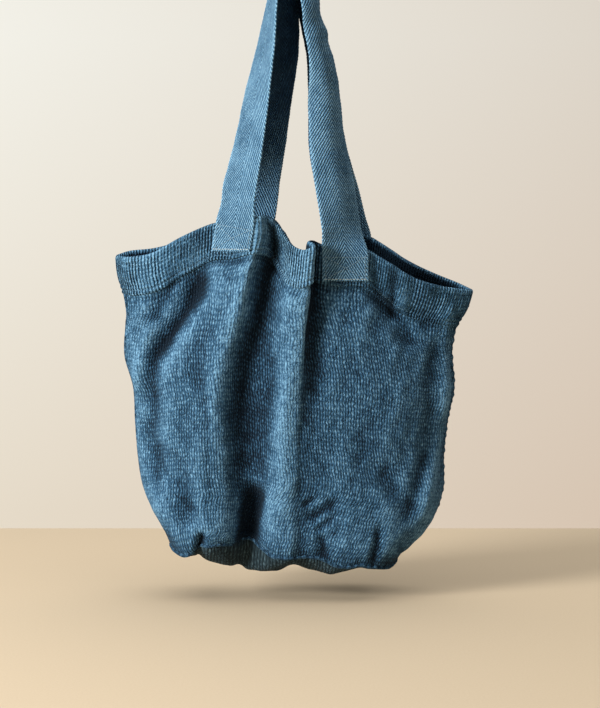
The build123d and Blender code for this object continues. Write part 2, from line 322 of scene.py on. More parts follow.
def wrinkle(panel, creases, seed):
    """Adds creases and soft ripples to a panel, fading to nothing at its side seams and rim."""
    u, w = panel.sack[..., 0], panel.sack[..., 2]
    depth = sum(crease(u, w, *line) for line in creases)
    arc = np.linspace(0, 1, panel.sack.shape[1])[None, :]
    drop = np.linspace(0, 1, panel.sack.shape[0])[:, None]
    quiet = smooth(arc, 0, 0.05) * (1 - smooth(arc, 0.95, 1.0))
    below_hem = smooth(drop, 0.02, 0.16)
    depth = depth * (0.35 + 0.65 * below_hem)
    depth += UNDER_HEM_DEPTH * np.exp(-((w[:1] - w - UNDER_HEM_DROP) / 4) ** 2)
    depth -= BROAD_RIPPLE * ripples(u, w * 0.5, 30, 34, 90, seed) * (0.3 + 0.7 * below_hem)
    depth -= FINE_RIPPLE * ripples(u, w, 40, 14, 30, seed + 1) * below_hem
    panel.sack = panel.sack - normals(panel.sack, panel.side) * (depth * quiet)[..., None]
    panel.sack[..., 1] = panel.side * np.maximum(panel.side * panel.sack[..., 1], 0)


wrinkle(front, front_creases, 11)
wrinkle(back, back_creases, 23)

# ---------------------------------------------------------------- mesh helpers


def add_mesh(name, vertices, faces, cloth, material):
    """A smooth-shaded mesh object from vertices in millimetres, with each one's place on the flat cloth."""
    mesh = bpy.data.meshes.new(name)
    mesh.from_pydata((np.asarray(vertices) * MM).tolist(), [], faces)
    mesh.attributes.new("cloth", "FLOAT_VECTOR", "POINT").data.foreach_set(
        "vector", np.asarray(cloth, np.float32).ravel())
    mesh.polygons.foreach_set("use_smooth", [True] * len(mesh.polygons))
    mesh.validate()
    mesh.update()
    made = bpy.data.objects.new(name, mesh)
    bpy.context.scene.collection.objects.link(made)
    mesh.materials.append(material)
    return made


def grid_faces(rows, columns, start=0, flip=False, wrap_rows=False, wrap_columns=False):
    """Quads of a grid of vertices, joined round where asked."""
    row_steps, column_steps = rows - (not wrap_rows), columns - (not wrap_columns)
    r, c = np.meshgrid(np.arange(row_steps), np.arange(column_steps), indexing="ij")
    r2, c2 = (r + 1) % rows, (c + 1) % columns
    corners = [r * columns + c, r * columns + c2, r2 * columns + c2, r2 * columns + c]
    quads = np.stack(corners, axis=-1).reshape(-1, 4)
    return (quads[:, ::-1] if flip else quads) + start


INSIDE_SHADE = -0.5  # painted shade of the cloth's inner face: the sack's inside is painted darker, as it lies in shade


def thick_grid(name, points, n, cloth, material, flip=False):
    """A closed sheet of the cloth's thickness about a grid of points, with its four edges walled."""
    rows, columns = points.shape[:2]
    count = rows * columns
    index = np.arange(count).reshape(rows, columns)
    faces = [grid_faces(rows, columns, 0, flip), grid_faces(rows, columns, count, not flip)]
    loop = np.concatenate([index[0, :-1], index[:-1, -1], index[-1, :0:-1], index[:0:-1, 0]])
    following = np.roll(loop, -1)
    walls = np.stack([loop, loop + count, following + count, following], axis=-1)
    faces.append(walls if not flip else walls[:, ::-1])
    vertices = np.concatenate([(points + way * n * CLOTH / 2).reshape(-1, 3) for way in (1, -1)])
    # the inner face carries the painted shade of the sack's inside
    inside = cloth.copy()
    inside[..., 2] = INSIDE_SHADE
    flat = np.concatenate([cloth.reshape(-1, 3), inside.reshape(-1, 3)])
    return add_mesh(name, vertices, np.concatenate(faces).tolist(), flat, material)


def cloth_map(over, run, wear_and_shade):
    """Each point's place on the flat cloth, across and along it in millimetres, and its wear with painted shade.
    """
    return np.stack(np.broadcast_arrays(over, run, wear_and_shade), axis=-1)


def flat_cloth(points, width):
    """The places of a hung panel's grid on its cloth before it was hung, unworn."""
    over = distances(points.transpose(1, 0, 2)).T
    over = over / over[:, -1:] * width
    fall = distances(points)
    return cloth_map(over, fall.mean(axis=1)[:, None] * 0.7 + fall * 0.3, 0.0)


def sample(grid, rows, columns):
    """Values of a grid between its points, for every row place against every column place."""
    r0 = np.clip(np.floor(rows).astype(int), 0, grid.shape[0] - 2)
    c0 = np.clip(np.floor(columns).astype(int), 0, grid.shape[1] - 2)
    fr, fc = (rows - r0)[:, None, None], (columns - c0)[None, :, None]
    a, b = grid[r0][:, c0], grid[r0][:, c0 + 1]
    c, d = grid[r0 + 1][:, c0], grid[r0 + 1][:, c0 + 1]
    return (a * (1 - fc) + b * fc) * (1 - fr) + (c * (1 - fc) + d * fc) * fr


# Ridges are painted paler as real wear; hollows are painted darker as shade of the folds.
WEAR_AND_SHADE_GAIN, WEAR_AND_SHADE_LIMITS = 0.18, (-0.35, 1.0)


def worn_and_shaded(points, side):
    """How far each grid point stands out of its surroundings: towards 1 on ridges, which wear pale, and below a
    half in hollows, which are painted darker as shade.
    """
    around = np.zeros_like(points)
    for axis in (0, 1):
        last = points.shape[axis] - 1
        for shift in (6, -6, 12, -12):
            around += np.take(points, np.clip(np.arange(last + 1) + shift, 0, last), axis) / 8
    stands_out = ((points - around) * normals(points, side)).sum(axis=-1)
    return np.clip(0.5 + stands_out * WEAR_AND_SHADE_GAIN, *WEAR_AND_SHADE_LIMITS)


# ---------------------------------------------------------------- where each end of webbing is sewn on
PANEL_FLAT = (460.0, 425.0)
HEM_THICKNESS = 1.9
TAB_LIFT = CLOTH / 2 + HEM_THICKNESS + WEBBING_THICKNESS / 2
TAB_DEPTH = 30.0


def to_sack(x, z):
    """A point of the bag's middle plane in millimetres, as across, deep and up in the sack's frame."""
    p = np.array([x, 0.0, z]) - base_origin
    return np.array([p @ across, 0.0, p @ up])


def to_world(v):
    """A direction in the sack's frame, in the row frame."""
    return v[0] * across + v[1] * outward + v[2] * up


class Tab:
    """Where one end of webbing is sewn over the hem: its middle at the rim, and its three directions."""

    def __init__(self, panel, rim_point, lean):
        u, _, w = to_sack(*rim_point)
        grid = panel.sack
        beside, below = np.abs(grid[..., 0] - u), w - grid[..., 2]
        near = grid[(beside < WEBBING_WIDTH / 2 - 3) & (below < TAB_DEPTH + 6)]
        centre = near.mean(axis=0)
        normal = np.linalg.svd(near - centre, full_matrices=False)[2][2]
        normal = normal * np.sign(normal[1]) * panel.side
        depth = centre[1] - ((u - centre[0]) * normal[0] + (w - centre[2]) * normal[2]) / normal[1]
        place = np.array([u, depth, w])
        slope = radians(lean) - tilt
        rise = np.array([sin(slope), 0, cos(slope)])
        rise = unit(rise - (rise @ normal) * normal)
        over = np.cross(rise, normal)
        over *= np.sign(over[0])
        self.flatten(panel, place, normal, rise, over)
        self.normal, self.rise, self.over = to_world(normal), to_world(rise), to_world(over)
        self.centre = hang(*place) + self.normal * TAB_LIFT
        level = np.cross([0, 0, 1], self.normal)
        self.level = unit(level) * np.sign(level[0])

    @staticmethod
    def flatten(panel, place, normal, rise, over):
        """Presses the cloth flat under the tab."""
        off = panel.sack - place
        held = 1 - smooth(np.abs(off @ over), 23, 33)
        held = held * (1 - smooth(-(off @ rise), 26, 46)) * (1 - smooth(np.abs(off @ normal), 7, 13))
        panel.sack = panel.sack - normal * (off @ normal * held)[..., None]
        panel.held = np.maximum(panel.held, held)

    def across_at(self, t):
        """The webbing's direction from edge to edge, t up from the rim: level at the sewn end."""
        share = smooth(-t, 0.0, TAB_DEPTH)
        return unit(self.over * (1 - share) + self.level * share)

    def at(self, x, t, lift=0.0):
        """A point of the tab: x across it, t up from the rim, lift out of its middle."""
        return self.centre + self.across_at(t) * x + self.rise * t + self.normal * lift


tabs = {
    "front_left": Tab(front, (-62.5, -358.0), 10.0), "front_right": Tab(front, (57.3, -391.0), 0.0),
    "back_left": Tab(back, (-47.5, -354.4), 7.0), "back_right": Tab(back, (63.5, -372.6), 0.0),
}

# ---------------------------------------------------------------- materials


class Shader:
    """A material being built node by node."""

    def __init__(self, name):
        self.material = bpy.data.materials.new(name)
        self.material.use_nodes = True
        self.nodes, self.links = self.material.node_tree.nodes, self.material.node_tree.links
        self.surface = self.nodes["Principled BSDF"]

    def add(self, kind, inputs=(), **settings):
        node = self.nodes.new("ShaderNode" + kind)
        for name, value in settings.items():
            setattr(node, name, value)
        for name, value in dict(inputs).items():
            self.put(node.inputs[name], value)
        return node

    def put(self, socket, value):
        if isinstance(value, bpy.types.NodeSocket):
            self.links.new(value, socket)
        else:
            socket.default_value = value

    def math(self, operation, *values, clamp=False):
        node = self.add("Math", operation=operation, use_clamp=clamp)
        for socket, value in zip(node.inputs, values):
            self.put(socket, value)
        return node.outputs[0]

    def times(self, a, b):
        return self.math("MULTIPLY", a, b)

    def plus(self, a, b):
        return self.math("ADD", a, b)

    def scaled(self, value, gain, offset, clamp=False):
        return self.math("MULTIPLY_ADD", value, gain, offset, clamp=clamp)

    def ramp(self, share, dark, mid, light, darkest=0.0, lightest=1.0):
        """Three colours along share, with the middle one at a half."""
        node = self.add("ValToRGB", {"Fac": share})
        stops = node.color_ramp.elements
        stops[0].position, stops[0].color = darkest, rgba(*dark)
        stops[1].position, stops[1].color = lightest, rgba(*light)
        stops.new(0.5).color = rgba(*mid)
        return node.outputs["Color"]

    def mix(self, share, a, b):
        node = self.add("Mix", data_type="RGBA")
        self.put(node.inputs["Factor"], share)
        self.put(node.inputs["A"], a)
        self.put(node.inputs["B"], b)
        return node.outputs["Result"]

    def noise(self, vector, scale, detail=2.0, roughness=0.5):
        inputs = {"Vector": vector, "Scale": scale, "Detail": detail, "Roughness": roughness}
        return self.add("TexNoise", inputs).outputs[0]

    def cloth_place(self):
        """Across, down and wear with painted shade, from the mesh: millimetres on the flat cloth."""
        read = self.add("Attribute", attribute_name="cloth")
        parts = self.add("SeparateXYZ", {"Vector": read.outputs["Vector"]})
        return read.outputs["Vector"], parts.outputs["X"], parts.outputs["Y"], parts.outputs["Z"]

    def random(self, x, y):
        """A fixed random number for each whole x and y."""
        cell = self.add("CombineXYZ", {"X": self.math("FLOOR", x), "Y": self.math("FLOOR", y)})
        return self.add("TexWhiteNoise", {"Vector": cell.outputs[0]}, noise_dimensions="2D").outputs["Value"]

    def finish(self, colour, height, depth, roughness, strength=1.0):
        """Sets the colour, the relief (height 0 to 1 over depth metres) and a dry cloth's sheen."""
        bump = self.add("Bump", {"Height": height, "Distance": depth, "Strength": strength})
        self.put(self.surface.inputs["Base Color"], colour)
        self.put(self.surface.inputs["Normal"], bump.outputs["Normal"])
        self.put(self.surface.inputs["Roughness"], roughness)
        self.surface.inputs["Specular IOR Level"].default_value = 0.12
        self.surface.inputs["Sheen Weight"].default_value = 0.06
        self.surface.inputs["Sheen Roughness"].default_value = 0.6
        self.surface.inputs["Sheen Tint"].default_value = rgba(150, 190, 215)
        return self.material


def rgba(r, g, b):
    """A linear colour from 0-255 screen values."""
    return tuple(((c / 255 + 0.055) / 1.055) ** 2.4 if c > 10 else c / 3294 for c in (r, g, b)) + (1.0,)


def coarse_cloth(name, light, mid, dark, column, row, contrast=1.0, ribs=0.0):
    """Coarse plain cloth: upright cords crossed by rows, each float its own shade, worn pale on ridges and
    painted darker in shaded hollows.
    """
    s = Shader(name)
    place, x, y, wear_and_shade = s.cloth_place()
    drift = s.noise(place, 0.02, 3.0)
    wobble = s.noise(place, 0.09, 2.0)
    u = s.plus(s.math("DIVIDE", x, column), s.times(wobble, 0.9))
    v = s.plus(s.math("DIVIDE", y, row), s.times(drift, 2.2))
    tremble = s.math("SUBTRACT", s.noise(place, 0.3, 1.0), 0.5)
    u = s.plus(u, s.times(tremble, 1.1))
    v = s.plus(v, s.times(s.random(u, 0.0), 0.3))
    cord = s.math("ABSOLUTE", s.math("SINE", s.times(u, pi)))
    float_ = s.scaled(s.math("COSINE", s.times(v, 2 * pi)), -0.5, 0.5)
    yarn = s.times(s.math("POWER", cord, 1.4), s.scaled(float_, 0.55, 0.45))
    fuzz = s.scaled(wear_and_shade, 1.3, -0.3, clamp=True)
    yarn = s.plus(s.times(yarn, s.scaled(fuzz, -0.5, 1.0)), s.times(fuzz, 0.2))
    tone = s.random(u, v)
    drawn_out = s.add("VectorMath", {0: place, 1: (1.0, 0.25, 0.0)}, operation="MULTIPLY").outputs[0]
    streak = s.noise(drawn_out, 0.45, 4.0)
    fleck = s.noise(place, 0.6, 3.0, 0.7)
    wash = s.math("SUBTRACT", s.noise(place, 0.016, 3.0), 0.5)
    share = s.times(yarn, s.scaled(tone, 0.3, 0.48))
    share = s.plus(share, s.times(s.math("SUBTRACT", streak, 0.5), 0.75 * contrast))
    flecked = s.scaled(fuzz, 0.7 * contrast, 0.6 * contrast)
    share = s.plus(share, s.times(s.math("SUBTRACT", fleck, 0.5), flecked))
    # painted shade: in hollows the yarn's contrast is flattened, as in shade
    shaded_hollow = s.scaled(wear_and_shade, -1.6, 0.8, clamp=True)
    share = s.scaled(share, s.scaled(shaded_hollow, -0.35, 1.0), 0.2)
    share = s.plus(share, s.times(wash, 0.14))
    share = s.plus(share, s.scaled(wear_and_shade, 0.5, -0.27))
    height = s.plus(yarn, s.times(fleck, 0.8))
    if ribs:
        rib = s.scaled(s.math("COSINE", s.times(x, 2 * pi / ribs)), 0.5, 0.5)
        height = s.plus(height, s.times(rib, 0.8))
    rough = s.scaled(fleck, 0.15, 0.82)
    return s.finish(s.ramp(share, dark, mid, light, 0.08, 0.95), height, 0.0016, rough)


def herringbone(name, light, mid, dark):
    """Herringbone webbing: twill lines that fall away from the middle to both edges, in heathered yarn."""
    s = Shader(name)
    place, x, y, wear_and_shade = s.cloth_place()
    wobble = s.times(s.math("SUBTRACT", s.noise(place, 0.12, 2.0), 0.5), 0.5)
    fall = s.math("SUBTRACT", y, s.times(s.math("ABSOLUTE", x), HERRINGBONE_SLOPE))
    line = s.plus(s.math("DIVIDE", fall, HERRINGBONE_PITCH), wobble)
    twill = s.scaled(s.math("SINE", s.times(line, 2 * pi)), 0.5, 0.5)
    step = s.scaled(s.math("SINE", s.times(x, 2 * pi / 1.7)), 0.5, 0.5)
    tone = s.random(s.math("DIVIDE", x, 1.7), line)
    fleck = s.noise(place, 1.0, 2.0, 0.7)
    faded = s.noise(place, 0.03, 2.0)
    yarn = s.times(twill, s.scaled(step, 0.2, 0.8))
    share = s.times(yarn, s.scaled(tone, 0.35, 0.6))
    share = s.plus(share, s.times(s.math("SUBTRACT", fleck, 0.5), 0.8))
    share = s.plus(share, s.times(s.math("SUBTRACT", faded, 0.45), 0.5))
    share = s.plus(share, s.times(wear_and_shade, 0.45))
    share = s.plus(share, 0.12)
    height = s.plus(yarn, s.times(fleck, 0.3))
    rough = s.scaled(fleck, 0.15, 0.8)
    return s.finish(s.ramp(share, dark, mid, light), height, 0.0009, rough)


def twisted_thread(name, light, dark):
    """Sewing thread: two plies twisted round each other."""
    s = Shader(name)
    place, x, y, _ = s.cloth_place()
    ply = s.math("SINE", s.times(s.plus(x, s.times(y, 1.4)), 5.5))
    fleck = s.noise(place, 1.6, 2.0, 0.7)
    share = s.scaled(ply, 0.25, s.times(fleck, 1.0))
    return s.finish(s.mix(share, rgba(*dark), rgba(*light)), s.scaled(ply, 0.5, 0.5), 0.0003, 0.7)


cloth_paint = coarse_cloth("coarse_blue_cloth", (118, 164, 196), (49, 87, 117), (10, 25, 39), 3.5, 5.1)
hem_paint = coarse_cloth("ribbed_hem_cloth", (126, 172, 203), (58, 98, 128), (13, 31, 46), 3.1, 4.5, 0.8, 3.2)
# painted shade: the base's cloth is darker and greyer, as the underside lies in shade
base_shade_paint = coarse_cloth("shaded_base_cloth", (84, 108, 118), (38, 55, 63), (12, 20, 25), 3.5, 5.1)
seam_paint = coarse_cloth("seam_cloth", (110, 152, 184), (50, 88, 118), (14, 30, 46), 2.4, 3.0)
webbing_paint = herringbone("herringbone_webbing", (140, 184, 212), (71, 115, 149), (16, 36, 58))
pale_thread = twisted_thread("pale_stitching", (206, 222, 226), (140, 174, 192))
blue_thread = twisted_thread("blue_stitching", (130, 170, 196), (52, 86, 114))
faded_thread = twisted_thread("faded_stitching", (168, 198, 214), (96, 134, 160))

# ---------------------------------------------------------------- panels
FOOT_SHADE, FOOT_HEIGHTS = 0.5, (12.0, 46.0)  # painted shade: the lowest cloth, turning under to the base, is darker, fading out between these heights
for panel in (front, back):
    panel.points = hang(*np.moveaxis(panel.sack, -1, 0))
    panel.normals = normals(panel.points, panel.side)
    panel.cloth = flat_cloth(panel.points, PANEL_FLAT[0])
    at_foot = 1 - smooth(panel.sack[..., 2], *FOOT_HEIGHTS)
    panel.cloth[..., 2] = worn_and_shaded(panel.points, panel.side) - FOOT_SHADE * at_foot
    panel.drop = (panel.sack[:1, :, 2] - panel.sack[..., 2]).mean(axis=1)
    panel.width = panel.points.shape[1] - 1


def ready(piece, body="sack", nodes=()):
    """Gives a finished piece the body that it rides on and hides the CAD nodes that it stands for."""
    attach(piece, body)
    if nodes:
        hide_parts(*nodes)
    return piece


PANEL_START = 5.0  # the panel's top edge lies this far below the rim, inside the hem


def panel_sheet(panel, name):
    """The single sheet of one side, from inside the hem down to the base."""
    start = int(np.searchsorted(panel.drop, PANEL_START))
    return thick_grid(name, panel.points[start:], panel.normals[start:], panel.cloth[start:], cloth_paint,
                      panel.side > 0)


front_sheet = ready(panel_sheet(front, "front_sheet"), nodes=["front_panel"])
back_sheet = ready(panel_sheet(back, "back_sheet"), nodes=["back_panel"])

# ---------------------------------------------------------------- hems
RIB_PITCH, RIB_HEIGHT = 3.2, 0.4
SAMPLES_PER_RIB = 8
HEM_STITCH_DROP = 35.8
HEM_RIGHT_SHADE = 0.22  # painted shade: the hem's right end, which turns away from the light, is darker than the rest by this much
# The turned cloth in section, as (drop below the rim, offset), from its outer edge over the rim to its inner
OUTSIDE_SECTION = [
    (41, 1.25), (40.2, 2.6), (38.6, 3.5), (37, 2.7), (35.8, 1.5), (34.6, 2.7), (33, 3.3), (31.4, 2.7),
    (30.4, 2.0), (29.2, 2.7), (26, 2.8), (21, 2.7), (16, 2.8), (11, 2.9), (6.5, 3.0), (3, 3.0), (0.6, 2.7),
    (-1.1, 1.8), (-1.9, 0.6), (-1.9, -0.6), (-1.1, -1.8), (0.6, -2.6), (3, -2.8), (8, -2.7), (14, -2.6),
    (21, -2.6), (28, -2.6), (34, -2.5), (36.5, -2.2), (38, -1.25),
]
INSIDE_SECTION = [
    (37.5, -1.04), (30, -1.04), (20, -1.04), (10, -1.04), (4.4, -1.04), (3.9, -0.5), (3.9, 0.5), (4.4, 1.04),
    (10, 1.04), (20, 1.04), (30, 1.04), (39.5, 1.04),
]


def rows_at(panel, drops):
    """The panel's rows, with fractions, at distances below its rim."""
    return np.interp(drops, panel.drop, np.arange(len(panel.drop)))


def section_grid(panel, section, columns, lift):
    """Points of a wall layer: each (drop, offset) of a section at every column, its ribs lifted outwards."""
    drops, offsets = np.array(section, float).T
    rows = rows_at(panel, np.maximum(drops, 0))
    n = unit(sample(panel.normals, rows, columns))
    raised = offsets[:, None] + np.sign(offsets[:, None]) * lift
    over_rim = up * np.maximum(-drops, 0)[:, None, None]
    return sample(panel.points, rows, columns) + n * raised[..., None] + over_rim


def hem_wrap(panel, name, seed):
    """The rim's cloth, turned in over the top and gathered into upright ribs by its stitching."""
    count = int(PANEL_FLAT[0] / RIB_PITCH * SAMPLES_PER_RIB)
    columns = np.linspace(0, panel.width, count)
    x = np.linspace(0, PANEL_FLAT[0], count)[None, :]
    drops, offsets = np.array(OUTSIDE_SECTION, float).T
    d = np.abs(drops)[:, None]
    rows = rows_at(panel, np.abs(drops))
    held = sample(panel.held[..., None], rows, columns)[..., 0]
    # the panel's wear and painted shade, carried on into the hem's outer face
    shade = sample(panel.cloth[..., 2:], rows, columns)[..., 0] - 0.5
    wander = ripples(x, d * 0.3, 12, 30, 90, seed) * 0.9
    ribs = np.cos(2 * pi * (x + wander) / RIB_PITCH)
    size = 0.65 + 0.35 * ripples(x, d, 10, 18, 60, seed + 1)
    outside = offsets[:, None] > 0
    quiet = np.where(outside, 1 - held, 1.0)
    edge = 1 - smooth(np.abs(x / PANEL_FLAT[0] - 0.5), 0.485, 0.5)
    lift = (RIB_HEIGHT * ribs * size + 0.35 * ripples(x, d, 20, 9, 24, seed + 2)) * quiet * edge
    lift = np.where(np.abs(offsets[:, None]) < 1.3, 0.3 * lift, lift)
    outer = section_grid(panel, OUTSIDE_SECTION, columns, lift)
    inner = section_grid(panel, INSIDE_SECTION, columns, 0.0)
    ring = np.concatenate([outer, inner])
    run = np.concatenate([distances(outer).mean(axis=1), np.array(INSIDE_SECTION)[:, 0]])
    cloth = cloth_map(x, run[:, None], INSIDE_SHADE)
    on_edge = np.exp(-((drops[:, None] + 0.5) / 2.5) ** 2)
    right_shade = HEM_RIGHT_SHADE * smooth(x / PANEL_FLAT[0], 0.55, 0.8)
    outer_wear_and_shade = np.clip(0.54 + shade + 0.22 * ribs + 0.35 * on_edge - right_shade, -0.5, 1)
    cloth[:len(drops), :, 2] = np.where(outside, outer_wear_and_shade, INSIDE_SHADE + (0.9 - INSIDE_SHADE) * on_edge)
    return tube(name, ring, cloth, hem_paint, panel.side > 0)


def tube(name, ring, cloth, material, flip=False, endless=False):
    """A closed mesh round a grid: its rows run round the section, its columns along it, capped or endless."""
    around, length = ring.shape[:2]
    faces = grid_faces(around, length, flip=flip, wrap_rows=True, wrap_columns=endless).tolist()
    if not endless:
        first = (np.arange(around) * length).tolist()
        last = (np.arange(around) * length + length - 1).tolist()
        faces.append(first if not flip else first[::-1])
        faces.append(last[::-1] if not flip else last)
    return add_mesh(name, ring.reshape(-1, 3), faces, cloth.reshape(-1, 3), material)


front_hem_cloth = ready(hem_wrap(front, "front_hem_cloth", 31), nodes=["front_hem"])
back_hem_cloth = ready(hem_wrap(back, "back_hem_cloth", 47), nodes=["back_hem"])

# ---------------------------------------------------------------- side seams


def evenly(line, first, short, step):
    """Places along a line at even steps, from first to a little short of its end, and its points there."""
    length = distances(line[:, None])[:, 0]
    places = np.arange(first, length[-1] - short, step)
    return places, np.stack([np.interp(places, length, line[:, k]) for k in range(3)], axis=-1)


def round_section(path, width_way, depth_way, half_width, half_depth, samples=14):
    """A grid of rings round a path; the half sizes may vary along it."""
    turn = np.linspace(0, 2 * pi, samples, endpoint=False)[:, None, None]
    wide, deep = width_way * np.cos(turn), depth_way * np.sin(turn)
    return path + wide * half_width[:, None] + deep * half_depth[:, None]


def side_ridge(name, column, way, seed):
    """The felled seam down one side, as a soft puckered ridge from the rim to the base."""
    places, edge = evenly((front.sack[:, column] + back.sack[:, column]) / 2, 3.0, 0.0, 1.6)
    turns = 2 * pi * places
    pucker = np.sin(turns / 8.5 + 1.5 * np.sin(places / 23.0)) + 0.6 * np.sin(turns / 21.0 + seed)
    half_width = 2.6 + 0.25 * pucker
    half_depth = 3.2 + 0.4 * np.sin(turns / 13.0 + seed)
    taper = smooth(places, 2, 10) * (1 - smooth(places, places[-1] - 6, places[-1]) * 0.7)
    sway = 0.8 * np.sin(places / 11.0 + seed)
    path = hang(edge[:, 0] - way * 1.6 + 0.3 * pucker, edge[:, 1] + sway, edge[:, 2])
    ring = round_section(path[None], across, outward, half_width * taper + 0.2, half_depth * taper + 0.2)
    over = np.linspace(0, 20, ring.shape[0])[:, None]
    return tube(name, ring, cloth_map(over, places, np.clip(0.5 + 0.2 * pucker, 0, 1)), seam_paint)


left_seam_ridge = ready(side_ridge("left_seam_ridge", 0, -1, 1.0), nodes=["left_side_seam"])
right_seam_ridge = ready(side_ridge("right_seam_ridge", -1, 1, 2.4), nodes=["right_side_seam"])

# ---------------------------------------------------------------- base
BASE_ROWS = 70


def base_grid():
    """The base between the panels' bottom edges, sagging in two soft lobes."""
    share = np.linspace(0, 1, BASE_ROWS)[:, None, None]
    grid = front.sack[-1][None] * (1 - share) + back.sack[-1][None] * share
    u, y = grid[..., 0], grid[..., 1]
    middle = np.sin(pi * share[..., 0])
    sag = middle ** 0.55 * along(*zip(*base_sag), np.clip(u.ravel(), -127, 127)).reshape(u.shape)
    sag += 0.8 * ripples(u, y, 24, 20, 60, 71) * middle
    grid[..., 2] -= sag
    return grid


base_sack = base_grid()
base_points = hang(*np.moveaxis(base_sack, -1, 0))
base_normals = unit(np.cross(np.gradient(base_points, axis=1), np.gradient(base_points, axis=0)))
base_normals *= -np.sign(base_normals[..., 2].mean())
base_flat = cloth_map(base_sack[..., 0] + 230, base_sack[..., 1] + 600, 0.45)
base_sheet = thick_grid("base_sheet", base_points, base_normals, base_flat, base_shade_paint)
ready(base_sheet, nodes=["base_panel"])


def base_roll():
    """The seam round the base: the edges of panel and base rolled together."""
    edge = np.concatenate([front.sack[-1], back.sack[-1][::-1], front.sack[-1][:1]])
    places, edge = evenly(edge, 0, 1.2, 1.5)
    turns = 2 * pi * places
    pucker = np.sin(turns / 7.5 + np.sin(places / 19.0)) + 0.5 * np.sin(turns / 17.0)
    out = unit(edge[:, :2] * [0.35, 1.0])
    path = hang(edge[:, 0] + out[:, 0] * 0.6, edge[:, 1] + out[:, 1] * 0.6, edge[:, 2] - 0.8 + 0.35 * pucker)
    way = out[:, :1] * across + out[:, 1:] * outward
    size = 2.1 + 0.35 * pucker
    ring = round_section(path[None], way[None], up, size, size * 0.9, 12)
    over = np.linspace(0, 13, ring.shape[0])[:, None]
    cloth = cloth_map(over, places, np.clip(0.45 + 0.2 * pucker, 0, 1))
    return tube("base_seam_roll", ring, cloth, seam_paint, endless=True)


base_seam_roll = ready(base_roll(), nodes=["base_seam"])

# ---------------------------------------------------------------- handles
LOOP_RADIUS = 9.0 + WEBBING_THICKNESS / 2
LOOP_TOP = -9.0
LOOP_DEPTH = 26.5
SELVEDGE_PITCH, SELVEDGE_HEIGHT = 3.4, 0.25
# Down each leg: height, sideways place, and turn of the webbing, 90 edge-on and 0 flat to the front
LEGS = {
    "front_left": [(-50, -13.5, 84), (-102, -22, 77), (-159, -30.3, 68), (-216, -40.6, 57), (-273, -50.5, 48),
                   (-295, -55, 44), (-312, -58.6, 41), (-334, -61.5, 41.5)],
    "front_right": [(-50, 14, 80), (-102, 25.9, 69), (-125, 27.5, 75), (-145, 33.3, 60), (-155, 34.4, 66),
                    (-170, 38.5, 60), (-193, 41.5, 49.6), (-221, 41.1, 33), (-250, 42.5, 33.3), (-273, 43.7, 30),
                    (-307, 47.4, 26), (-346, 52.2, 30), (-366, 54.2, 29)],
    "back_left": [(-50, -8.5, 74), (-102, -7, 62), (-160, -9, 55), (-216, -18.5, 53), (-273, -30.5, 40),
                  (-312, -40, 25), (-334, -44.2, 12)],
    "back_right": [(-50, 11, 82), (-102, 13, 70), (-130, 20, 66), (-160, 28, 60), (-216, 34, 48), (-273, 40, 31),
                   (-320, 51, 17), (-350, 57.4, 9)],
}
# How far round each leg's edges curl back, in degrees, as (height, curl)
CURLS = {"front_right": [(-366, 0), (-346, 12), (-307, 25), (-273, 40), (-250, 50), (-221, 60), (-102, 60),
                         (-50, 10)]}
NO_CURL = [(-400, 0), (0, 0)]
# Painted shadow on the webbing's inner face: it is darker by the shade value from its top to the first distance,
# fading out by the second
INNER_SHADE_REACH, INNER_FACE_SHADE = (235.0, 320.0), 0.9


def leg_rows(leg, side, hand):
    """Rows of middle, width way, outward way and curl down one leg, from the loop to the tab's end."""
    tab = tabs[leg]
    rows = []
    rim_y, rim_z = tab.centre[1], tab.centre[2]
    for z, x, turn in LEGS[leg]:
        share = (LOOP_TOP - z) / (LOOP_TOP - rim_z)
        y = side * LOOP_DEPTH + (rim_y - side * LOOP_DEPTH) * share
        t = radians(turn)
        width = np.array([-cos(t) * hand, side * sin(t), 0.0])
        curl = radians(np.interp(z, *zip(*CURLS.get(leg, NO_CURL))))
        rows.append(np.concatenate([[x, y, z], width, [hand * sin(t), side * cos(t), 0.0, curl]]))
    for t in (0.0, -TAB_DEPTH / 2, -TAB_DEPTH):
        rows.append(np.concatenate([tab.at(0, t), -hand * tab.across_at(t), tab.normal, [0.0]]))
    return rows


def loop_rows(side):
    """The half turn over the peg, from the left leg to the right."""
    rows = []
    for turn in np.linspace(pi, 0, 9):
        middle = [LOOP_RADIUS * cos(turn), side * LOOP_DEPTH, LOOP_TOP + LOOP_RADIUS * sin(turn)]
        rows.append(np.concatenate([middle, [0, side, 0], [cos(turn), 0, sin(turn), 0.0]]))
    return rows


def cloth_run(places):
    """Distance along the webbing from the middle of its loop, so that the weave falls away down both legs."""
    return np.abs(places - places[-1] / 2)


